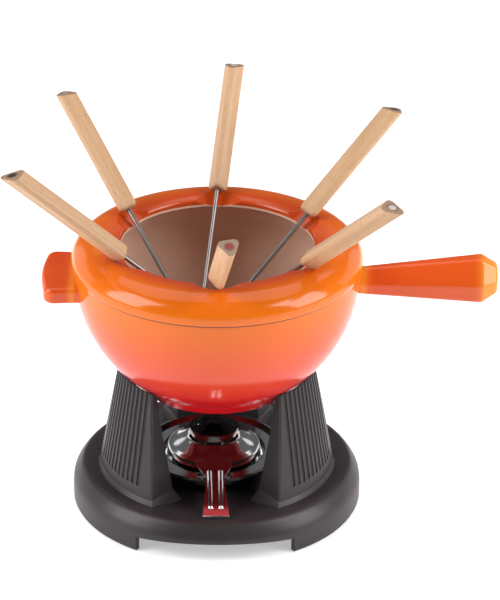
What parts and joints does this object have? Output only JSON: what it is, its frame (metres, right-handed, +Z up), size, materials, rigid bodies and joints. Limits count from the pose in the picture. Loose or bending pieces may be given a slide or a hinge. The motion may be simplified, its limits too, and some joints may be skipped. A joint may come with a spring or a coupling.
{
  "type": "fondue pot set",
  "caption": "Enamelled round fondue pot with long handle and splash ring on a cast iron stand over a spirit burner, with wooden-handled forks in the ring.",
  "frame": {"origin": "on the table, on the pot's vertical axis, in the plane that the stand's three feet stand on", "axes": "+Z up, +X along the pot's long handle, -Y towards the side that the burner's flat handle points to"},
  "size_m": [0.3721, 0.3424, 0.2973],
  "materials": {
    "enamel": "glossy vitreous enamel on cast iron, orange above shading to red below, grey-brown satin inside the pot",
    "cast_iron_black": "matt black enamelled cast iron",
    "polished_steel": "polished stainless steel sheet",
    "fork_steel": "polished stainless steel wire",
    "gauze": "fine woven stainless steel gauze",
    "wick_wool": "mineral wool pad",
    "beech": "bare waxed beech",
    "marker_black": "black plastic plug",
    "marker_tan": "tan plastic plug",
    "marker_white": "white plastic plug",
    "marker_grey": "grey plastic plug",
    "marker_red": "red plastic plug"
  },
  "bodies": {
    "stand": {"stand": "cast_iron_black"},
    "dish": {"drip_dish": "polished_steel"},
    "burner": {"fuel_cup": "polished_steel", "wick_pad": "wick_wool", "wick_gauze": "gauze", "vent_sleeve": "polished_steel"},
    "regulator": {"burner_cover": "polished_steel", "burner_lever": "polished_steel"},
    "pot": {"pot": "enamel"},
    "ring": {"splash_ring": "enamel"},
    "fork_1": {"fork_1_rod": "fork_steel", "fork_1_handle": "beech", "fork_1_plug": "marker_black"},
    "fork_2": {"fork_2_rod": "fork_steel", "fork_2_handle": "beech", "fork_2_plug": "marker_tan"},
    "fork_3": {"fork_3_rod": "fork_steel", "fork_3_handle": "beech", "fork_3_plug": "marker_white"},
    "fork_4": {"fork_4_rod": "fork_steel", "fork_4_handle": "beech", "fork_4_plug": "marker_black"},
    "fork_5": {"fork_5_rod": "fork_steel", "fork_5_handle": "beech", "fork_5_plug": "marker_grey"},
    "fork_6": {"fork_6_rod": "fork_steel", "fork_6_handle": "beech", "fork_6_plug": "marker_red"}
  },
  "joints": [
    {"name": "dish_lift", "type": "slide", "parent": "stand", "child": "dish", "axis": [0, 0, 1], "range_m": [0, 0.015]},
    {"name": "burner_lift", "type": "slide", "parent": "dish", "child": "burner", "axis": [0, 0, 1], "range_m": [0, 0.025]},
    {"name": "regulator_turn", "type": "hinge", "parent": "burner", "child": "regulator", "pos_m": [-0.0023, 0, 0.045], "axis": [0, 0, 1], "range_deg": [-20, 20]},
    {"name": "pot_lift", "type": "slide", "parent": "stand", "child": "pot", "axis": [0, 0, 1], "range_m": [0, 0.15]},
    {"name": "ring_lift", "type": "slide", "parent": "pot", "child": "ring", "axis": [0, 0, 1], "range_m": [0, 0.12]},
    {"name": "fork_1_pull", "type": "slide", "parent": "ring", "child": "fork_1", "axis": [-0.7468, -0.11, 0.6559], "range_m": [0, 0.16]},
    {"name": "fork_2_pull", "type": "slide", "parent": "ring", "child": "fork_2", "axis": [-0.4731, 0.6042, 0.6412], "range_m": [0, 0.16]},
    {"name": "fork_3_pull", "type": "slide", "parent": "ring", "child": "fork_3", "axis": [0.113, 0.7329, 0.6709], "range_m": [0, 0.16]},
    {"name": "fork_4_pull", "type": "slide", "parent": "ring", "child": "fork_4", "axis": [0.6235, 0.4934, 0.6065], "range_m": [0, 0.16]},
    {"name": "fork_5_pull", "type": "slide", "parent": "ring", "child": "fork_5", "axis": [0.5563, -0.5123, 0.6543], "range_m": [0, 0.16]},
    {"name": "fork_6_pull", "type": "slide", "parent": "ring", "child": "fork_6", "axis": [0.078, -0.7773, 0.6243], "range_m": [0, 0.16]}
  ]
}
